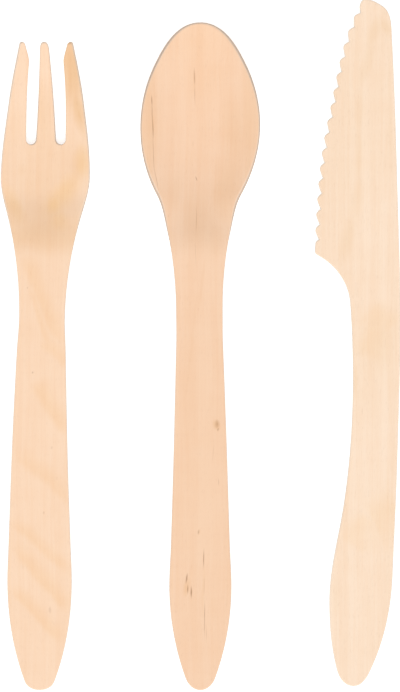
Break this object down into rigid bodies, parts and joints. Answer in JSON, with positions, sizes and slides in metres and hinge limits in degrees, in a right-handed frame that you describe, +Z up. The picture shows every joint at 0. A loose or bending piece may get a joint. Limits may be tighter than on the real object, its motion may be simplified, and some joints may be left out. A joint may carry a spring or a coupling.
{
  "type": "wooden cutlery set",
  "caption": "Disposable birch veneer cutlery laid side by side: a fork with tines and a dished palm, a spoon with a shallow pressed bowl and a flat knife with a toothed edge.",
  "frame": {"origin": "middle of the set's footprint, on the surface that it lies on", "axes": "+Z up, +Y from the handles' ends to the tips, +X from the fork over the spoon to the knife"},
  "size_m": [0.0958, 0.1658, 0.0061],
  "materials": {
    "birch_fork": "bare sanded birch veneer",
    "birch_spoon": "bare sanded birch veneer",
    "birch_knife": "bare sanded birch veneer"
  },
  "bodies": {
    "root": {"fork": "birch_fork", "spoon": "birch_spoon", "knife": "birch_knife"}
  },
  "joints": []
}
